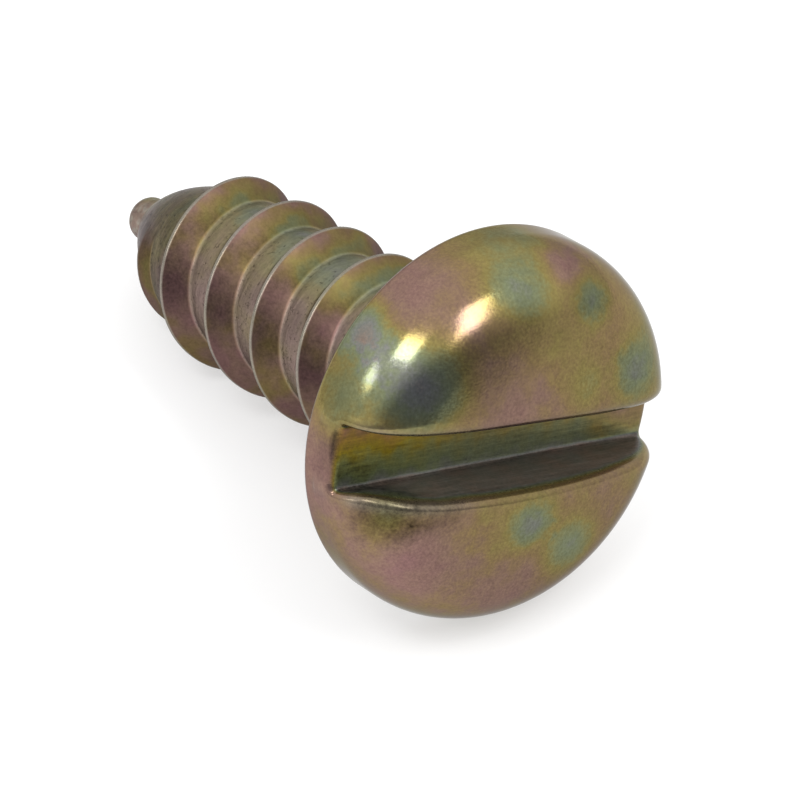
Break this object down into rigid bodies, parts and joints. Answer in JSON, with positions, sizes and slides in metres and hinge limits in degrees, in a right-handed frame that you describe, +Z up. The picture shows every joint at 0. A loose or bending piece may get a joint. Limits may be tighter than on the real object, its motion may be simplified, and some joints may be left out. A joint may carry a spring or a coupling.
{
  "type": "self-tapping screw",
  "caption": "Short slotted pan head self-tapping screw with a coarse thread and a blunt gimlet point, lying on its side, in dull yellow zinc plate.",
  "frame": {"origin": "on the surface that the screw lies on, under the middle of its outline", "axes": "+Z up; the head is at +X and the point at -X; the screw's own axis lies in the XZ plane and falls 12 degrees towards the point"},
  "size_m": [0.0122, 0.0068, 0.0068],
  "materials": {
    "zinc_plate": "yellow passivated zinc plate, worn satin, with faint olive, gold, rose and blue-green tints"
  },
  "bodies": {
    "root": {"screw": "zinc_plate"}
  },
  "joints": []
}
